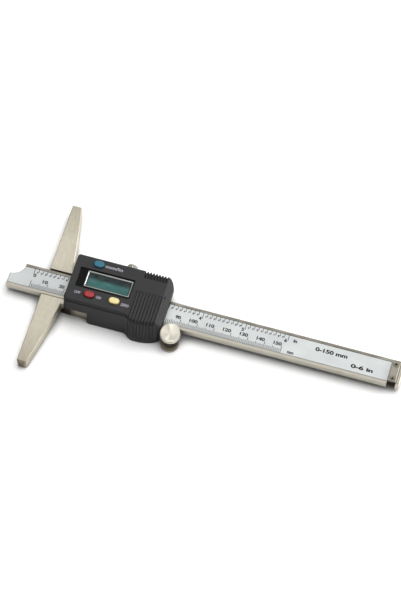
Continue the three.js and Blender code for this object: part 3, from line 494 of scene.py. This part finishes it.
# Printed figures
# Tens of millimetres stand beside the long front ticks, whole inches and small tenths at the back,
# in a broad plain type. The zero stands alone over its tick.
figures = bmesh.new()
add_words(figures, "0", (zero_x + 0.9, 1.9), 2.2, 1.7, film_top, INK_THICKNESS)
for tens in range(1, 16):
    figure = str(tens * 10)
    figure_width = 1.65 * len(figure) - 0.1
    figure_x = zero_x + tens * 10 - 0.3 - figure_width / 2
    add_words(figures, figure, (figure_x, -0.7), 2.25, figure_width, film_top, INK_THICKNESS)
for tenths in range(1, 61):
    whole, tenth = divmod(tenths, 10)
    tick_x = zero_x + tenths * inch / 10
    if tenth == 0:
        add_words(figures, str(whole), (tick_x - 1.2, 2.3), 2.2, 1.6, film_top, INK_THICKNESS)
    else:
        add_words(figures, str(tenth), (tick_x - 0.8, 4.0), 1.3, 0.45 if tenth == 1 else 0.9, film_top,
                  INK_THICKNESS)
printed(figures, "scale_figures", "rod", ink)

# Printed words
# The units beside the ends of the two scales, and the range of each scale further along the rod.
words = bmesh.new()
for text, middle, height, width in (
    ("in", (148.8, 3.4), 2.1, 2.2),
    ("mm", (147.9, -4.6), 1.5, 3.8),
    ("0-150 mm", (170.5, 2.1), 2.6, 19.0),
    ("0-6 in", (189.5, -2.5), 2.6, 13.0),
):
    add_words(words, text, middle, height, width, film_top, INK_THICKNESS)
printed(words, "scale_words", "rod", ink)

# Stop plate
# A small block of the same steel, screwed across the far end of the rod so that the slide can't run off.
# It is toned by handling, and shade is painted dark in the recesses of its two plain screws.
stop_steel = steel("toned_stop_steel", colour(166, 160, 148), 0.33, (0.0001, 0.003, 0.0001), 0.002 * MM)
dressed("stop_plate", "stop_block", stop_steel, 0.15 * MM)
black_steel = steel("blackened_screw_steel", colour(64, 62, 60), 0.4, (0.0002, 0.0002, 0.0002), 0.003 * MM)
stop_screw_steel = steel("stop_screw_steel", colour(150, 144, 132), 0.35, (0.0002, 0.0002, 0.0002), 0.002 * MM)
stop_screw_tone = stop_screw_steel.tone()
# Painted shade: the screws' recesses are darkened below the head's face.
stop_screw_recess_shade = stop_screw_steel.spread(stop_screw_steel.along(2), 9.36 * MM, 9.28 * MM)
stop_screw_steel.give(
    Base_Color=stop_screw_steel.blend(0.95 * stop_screw_recess_shade, stop_screw_tone, colour(14, 13, 12)),
)
SCREW_EDGE = 0.03 * MM
dressed("stop_screw_1", "stop_screw_front", stop_screw_steel, SCREW_EDGE)
dressed("stop_screw_2", "stop_screw_back", stop_screw_steel, SCREW_EDGE)

# Base
# The measuring bar is hardened stainless steel with a satin champagne tone, lapped on its contact face
# and finely sanded all over. A painted reflection darkens it towards its tips, and its ends are streaked with
# brown.
base_steel = Finish("satin_base_steel", {"Metallic": 1})
sanding = base_steel.grain((0.00022, 0.00014, 0.00014), 3)
mottle = base_steel.spread(base_steel.grain((0.0016, 0.003, 0.003), 4), 0.32, 0.68)
tarnish = base_steel.spread(base_steel.grain((0.012, 0.02, 0.02), 2), 0.35, 0.7)
from_middle = base_steel.unsigned(base_steel.along(1))
# Painted reflection: the steel is darkened towards the tips, in clouds.
tip_reflection_shade = base_steel.spread(from_middle, 30 * MM, 52 * MM)
base_worn = edges(base_steel, 0.4 * MM)
base_light = 0.3 * mottle + 0.25 * tarnish + 0.3 * sanding
base_clean = base_steel.blend(base_light, colour(188, 181, 163), colour(219, 213, 197))
base_tip_shaded = base_steel.blend(tip_reflection_shade * (0.25 + 0.45 * tarnish), base_clean, colour(156, 148, 131))
end_streaks = base_steel.spread(base_steel.grain((0.0012, 0.02, 0.012), 2), 0.35, 0.6)
on_end = base_steel.spread(from_middle, 52.1 * MM, 52.4 * MM)
base_tone = base_steel.blend(on_end * (0.25 + 0.6 * end_streaks), base_tip_shaded, colour(96, 82, 66))
base_steel.give(
    Base_Color=base_steel.blend(0.6 * base_worn, base_tone, colour(232, 226, 210)),
    Roughness=0.38 + 0.05 * mottle - 0.1 * base_worn,
    Normal=base_steel.bump(sanding, 0.002 * MM),
)
dressed("base", "measuring_base", base_steel, 0.2 * MM)
recoat(black_steel, "base_screw_1", "base_screw_2")

# Slider frame
# The steel frame behind the base runs on the rod, with a thin brass strip that two screws press against it.
# Most of it is under the housing, so it keeps the plain milled finish, and shade is painted dark in the corner at
# the base.
frame_steel = steel("milled_frame_steel", colour(176, 168, 152), 0.34, (0.0002, 0.003, 0.0002), 0.002 * MM)
frame_x, frame_y = (frame_steel.along(axis) for axis in range(2))
frame_tone = frame_steel.tone()
# Painted shade: the front of the frame goes near black beside the base.
frame_corner_shade = frame_steel.spread(frame_x, 22.5 * MM, 18.5 * MM) * frame_steel.spread(frame_y, -10 * MM, -11 * MM)
frame_steel.give(Base_Color=frame_steel.blend(0.92 * frame_corner_shade, frame_tone, colour(20, 19, 18)))
dressed("slider_frame", "slider_body", frame_steel, 0.08 * MM, triangles_first=True)
brass = steel("drawn_brass", colour(205, 172, 104), 0.3, (0.003, 0.0001, 0.0001), 0.0015 * MM)
recoat(brass, "gib_strip")
recoat(black_steel, "gib_screw_1", "gib_screw_2")
recoat(black_steel, "housing_screw_1", "housing_screw_2", "housing_screw_3", "housing_screw_4")

# Roller bracket
# A flat plate of the same steel is let into the underside of the frame and held by two screws.
# Its round pad carries the pin that the thumb roller turns on.
dressed("roller_bracket", "roller_arm", frame_steel, 0.1 * MM)
recoat(black_steel, "bracket_screw_1", "bracket_screw_2", "roller_axle")

# Thumb roller
# A steel roller turned in one piece: a dished head to push with, with a groove round it, over a neck that
# stands close beside the rod's edge. Shade is painted dark on the neck and in the groove. The lathe has left fine
# rings on it.
roller_axis = Vector((79.2, -13.2, 0)) * MM
roller_profile = (
    (0.0, 10.43), (1.28, 10.43), (1.28, 1.7), (4.55, 1.7), (4.8, 1.8), (4.9, 2.05), (4.9, 8.35), (5.0, 8.5),
    (5.45, 8.5), (5.8, 8.62), (5.9, 8.95), (5.9, 10.1), (5.6, 10.2), (5.6, 10.45), (5.8, 10.6), (5.8, 11.9),
    (5.7, 12.18), (5.45, 12.3), (5.0, 12.3), (4.8, 12.26), (3.6, 12.18), (0.0, 12.05),
)
roller_shape = bmesh.new()
profile = [roller_shape.verts.new((radius * MM, 0, height * MM)) for radius, height in roller_profile]
lines = [roller_shape.edges.new(pair) for pair in zip(profile, profile[1:])]
ROLLER_STEPS = 96
bmesh.ops.spin(
    roller_shape, geom=profile + lines, cent=(0, 0, 0), axis=(0, 0, 1), angle=math.tau, steps=ROLLER_STEPS,
    use_merge=True,
)
bmesh.ops.remove_doubles(roller_shape, verts=roller_shape.verts, dist=0.001 * MM)
bmesh.ops.recalc_face_normals(roller_shape, faces=roller_shape.faces)
for face in roller_shape.faces:
    face.smooth = True
for side in roller_shape.edges:
    side.smooth = side.calc_face_angle() < EDGE_ANGLE
bmesh.ops.translate(roller_shape, verts=roller_shape.verts, vec=roller_axis)
turned = Finish("turned_roller_steel", {"Metallic": 1, "Anisotropic": 0.9})
from_axis = turned.node("ShaderNodeMapping", {}, {
    "Vector": turned.node("ShaderNodeTexCoord", {}, {}, "Object"),
    "Location": -roller_axis,
})
flat_place = turned.node("ShaderNodeVectorMath", {"operation": "MULTIPLY"}, {0: from_axis, 1: (1, 1, 0)})
radius = turned.node("ShaderNodeVectorMath", {"operation": "LENGTH"}, {0: flat_place}, 1)
RING_WIDTH = 0.22 * MM
ring_number = radius * (1 / RING_WIDTH)
rings = turned.node("ShaderNodeTexNoise", {"noise_dimensions": "1D"}, {"W": ring_number, "Scale": 1, "Detail": 3})
ring_level = turned.spread(rings, 0.3, 0.7)
height = turned.node("ShaderNodeSeparateXYZ", {}, {0: from_axis}, 2)
GROOVE_HEIGHT = 10.33 * MM
# Painted shade: the groove and the neck under the head are darkened.
groove_shade = turned.spread(turned.unsigned(height - GROOVE_HEIGHT), 0.3 * MM, 0.1 * MM)
neck_shade = turned.spread(height, 8.7 * MM, 8.4 * MM) * turned.spread(height, 1.9 * MM, 2.3 * MM)
turned_bright = turned.blend(ring_level, colour(222, 217, 202), colour(244, 240, 228))
roller_shade = turned.maths("MAXIMUM", 0.6 * groove_shade, 0.93 * neck_shade)
turned.give(
    Base_Color=turned.blend(roller_shade, turned_bright, colour(30, 28, 24)),
    Roughness=0.42 + 0.08 * ring_level,
    Normal=turned.bump(ring_level, 0.003 * MM),
)
roller = piece_from(roller_shape, "roller", turned)
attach(roller, "thumb_roller")
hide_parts("thumb_roller")

# Lock screw
# A knurled steel screw in the back of the frame holds the slide where it stands.
# Its head shows as a small bright knob behind the housing.
knob_steel = steel("knurled_knob_steel", colour(150, 147, 141), 0.34, (0.0002, 0.002, 0.0002), 0.0015 * MM)
dressed("lock_screw", "lock_knob", knob_steel, 0.08 * MM)


# Housing
# The cover of the slide is moulded in charcoal ABS with a fine spark-eroded texture, polished by hands
# along its edges. It drops over the frame and is held by four screws from below.
FOOT_HEIGHT = 0.9 * MM


def moulded(name, dark, light, roughness, grain_size, depth, shine=0.35, foot=None, top=0):
    """Moulded plastic with an eroded texture, faint flow marks, edges polished by use, and, if a foot colour is
    given, shade painted darker towards the foot.
    """
    shell = Finish(name, {"Metallic": 0, "Specular IOR Level": shine})
    texture = shell.grain(grain_size, 2)
    flow = shell.spread(shell.grain((0.02, 0.012, 0.012), 3), 0.3, 0.7)
    rubbed = edges(shell, 0.5 * MM)
    body = shell.blend(0.6 * flow + 0.4 * texture, dark, light)
    if foot:
        # Painted shade: the sides go darker towards the foot, below the top.
        body = shell.blend(shell.spread(shell.along(2), top, top - FOOT_HEIGHT), body, foot)
    shell.give(
        Base_Color=shell.blend(0.5 * rubbed, body, [*(min(1, value * 1.8 + 0.01) for value in light[:3]), 1]),
        Roughness=roughness + 0.1 * texture + 0.06 * flow - 0.1 * rubbed,
        Normal=shell.bump(texture, depth),
    )
    return shell


fine_grain = (0.00016, 0.00016, 0.00016)
charcoal = moulded("charcoal_abs", colour(30, 30, 31), colour(38, 38, 38), 0.5, fine_grain, 0.006 * MM)
dressed("housing", "housing_shell", charcoal, 0.1 * MM)

# Battery cover
# A sliding lid of the same moulding, held by a tongue under the housing's top.
# Its ribs for the thumb run on down the front wall of the housing.
dressed("battery_cover", "battery_lid", charcoal, 0.1 * MM)

# Legends
# Small pad-printed words beside the keys say what each one does.
# They are in a lavender grey ink that is worn by fingers.
legend_ink = Finish("legend_ink", {"Metallic": 0, "Specular IOR Level": 0.3})
legend_wear = legend_ink.spread(legend_ink.grain((0.00035, 0.00035, 0.00035), 3), 0.35, 0.65)
legend_ink.give(
    Base_Color=legend_ink.blend(legend_wear, colour(90, 88, 96), colour(176, 174, 184)),
    Roughness=0.45 + 0.2 * legend_wear,
    Normal=legend_ink.bump(legend_wear, 0.003 * MM),
)
housing_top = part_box("housing")[1].z
for name, text, middle, height, width in (
    ("legend_off", "OFF", (22.1, -7.15), 1.7, 3.6),
    ("legend_on", "ON", (34.75, -7.2), 1.8, 2.9),
    ("legend_zero", "ZERO", (50.6, -7.7), 1.8, 5.0),
    ("legend_units", "mm/in", (38.0, 13.4), 2.0, 10.4),
):
    legend = bmesh.new()
    add_words(legend, text, middle, height, width, housing_top, INK_THICKNESS)
    printed(legend, name, "slider", legend_ink)

# Display
# A liquid crystal panel lies on a holder under an acrylic window, which a thin plated bezel frames,
# black along its outer rim. Round it the floor of the recess is masked black. The panel is painted darker to the
# back, as shade.
panel_low, panel_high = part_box("lcd_panel")
crystal = Finish("liquid_crystal", {"Metallic": 0, "Specular IOR Level": 0.15})
# Painted shade: the panel darkens towards the back of the window.
shade = crystal.spread(crystal.along(1), 3.4 * MM, 5.4 * MM)
cloud = crystal.spread(crystal.grain((0.006, 0.004, 0.004), 2), 0.3, 0.7)
teal = crystal.blend(cloud, colour(36, 88, 84), colour(52, 108, 104))
crystal.give(
    Base_Color=crystal.blend(0.92 * shade, teal, colour(8, 15, 18)),
    Roughness=0.22 + 0.08 * cloud,
    Normal=crystal.bump(crystal.grain((0.0004, 0.0004, 0.0004), 1), 0.001 * MM),
)
recoat(crystal, "lcd_panel")
window = Finish("clear_acrylic", {"Metallic": 0, "Specular IOR Level": 0.5})
smear = window.spread(window.grain((0.004, 0.003, 0.003), 3), 0.35, 0.7)
window.give(
    Base_Color=window.blend(smear, colour(90, 116, 116), colour(120, 146, 146)),
    Roughness=0.08 + 0.1 * smear,
    Alpha=0.03 + 0.03 * smear,
    Normal=window.bump(smear, 0.001 * MM),
)
recoat(window, "lcd_window")
plated = steel("plated_bezel", colour(176, 178, 172), 0.24, (0.0016, 0.0016, 0.0016), 0.001 * MM, slack=0.3)
bezel_low, bezel_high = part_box("lcd_bezel")
bezel_middle = (bezel_low + bezel_high) / 2
for axis, reach in ((0, bezel_high.x - bezel_middle.x), (1, bezel_high.y - bezel_middle.y)):
    from_centre = plated.unsigned(plated.along(axis) - bezel_middle[axis])
    outer = plated.spread(from_centre, reach - 0.42 * MM, reach - 0.32 * MM)
    rim = outer if axis == 0 else plated.maths("MAXIMUM", rim, outer)
plated_tone = plated.tone()
plated.give(
    Base_Color=plated.blend(rim, plated_tone, colour(10, 10, 11)),
    Metallic=1 - rim,
)
dressed("lcd_bezel", "display_bezel", plated, 0.1 * MM)
mask_black = moulded("display_mask_black", colour(8, 8, 9), colour(12, 12, 13), 0.55, fine_grain, 0.002 * MM, 0.1)
mask = bmesh.new()
for low, high in (
    ((19.35, -3.25), (23.8, 9.15)), ((51.5, -3.25), (51.75, 9.15)),
    ((23.8, -3.25), (51.5, -2.4)), ((23.8, 8.7), (51.5, 9.15)),
):
    add_bar(mask, low, high, bezel_low.z, INK_THICKNESS)
printed(mask, "display_mask", "slider", mask_black)
holder_black = moulded("holder_nylon", colour(34, 34, 36), colour(48, 48, 50), 0.5, fine_grain, 0.006 * MM)
recoat(holder_black, "lcd_holder")
rubber_grain = (0.0001, 0.0001, 0.0001)
rubber = moulded("conductive_rubber", colour(40, 40, 42), colour(58, 56, 54), 0.7, rubber_grain, 0.004 * MM)
recoat(rubber, "lcd_connector_1", "lcd_connector_2")

# Keys
# Three keys of coloured ABS stand in pill-shaped holes, over the switches on the board:
# red for power and yellow for zero at the front, blue for the units at the back. The blue one's stem meets
# the rim of its flange, so its edges are only broken finely. Each key has the pale colour of its lit top, painted
# darker towards its foot as shade.
key_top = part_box("power_button")[1].z
KEY_GRAIN = 0.002 * MM
KEY_EDGE = 0.25 * MM
FINE_KEY_EDGE = 0.1 * MM
KEY_SEGMENTS = 3
red_abs = moulded(
    "red_abs", colour(138, 18, 24), colour(166, 28, 34), 0.32, fine_grain, KEY_GRAIN, 0.4,
    colour(78, 8, 12), key_top,
)
dressed("power_button", "power_key", red_abs, KEY_EDGE, KEY_SEGMENTS)
yellow_abs = moulded(
    "yellow_abs", colour(206, 190, 126), colour(232, 218, 164), 0.3, fine_grain, KEY_GRAIN, 0.5,
    colour(150, 112, 20), key_top,
)
dressed("zero_button", "zero_key", yellow_abs, KEY_EDGE, KEY_SEGMENTS)
blue_abs = moulded(
    "blue_abs", colour(0, 88, 114), colour(8, 112, 138), 0.3, fine_grain, KEY_GRAIN, 0.5,
    colour(0, 42, 60), key_top,
)
dressed("mode_button", "mode_key", blue_abs, FINE_KEY_EDGE, KEY_SEGMENTS)
recoat(rubber, "key_switch_1", "key_switch_2", "key_switch_3")

# Circuit board
# A green board with tinned tracks under its lacquer lies on the frame, over nearly the whole length
# of the housing. It carries the switches, the display and the contacts of the cell.
board = Finish("board_lacquer", {"Metallic": 0, "Coat Weight": 0.4})
tracks = board.node("ShaderNodeTexVoronoi", {"distance": "MANHATTAN", "feature": "F1"},
                    {"Vector": board.place((0.0016, 0.0016, 0.0016)), "Scale": 1})
track_edge = board.spread(tracks, 0.42, 0.5)
lacquer = board.grain((0.003, 0.003, 0.003), 2)
board.give(
    Base_Color=board.blend(track_edge, colour(16, 84, 52), colour(44, 124, 76)),
    Roughness=0.3 + 0.15 * lacquer,
    Normal=board.bump(track_edge, 0.02 * MM),
)
recoat(board, "circuit_board")

# Battery
# A button cell in a nickel-plated can lies under the sliding lid, with one spring contact below it
# and one beside it.
nickel = steel("nickel_can", colour(204, 202, 196), 0.28, (0.0004, 0.0004, 0.0004), 0.001 * MM)
recoat(nickel, "battery")
spring = steel("spring_bronze", colour(196, 164, 104), 0.32, (0.001, 0.0002, 0.0002), 0.0015 * MM)
recoat(spring, "contact_plus", "contact_minus")
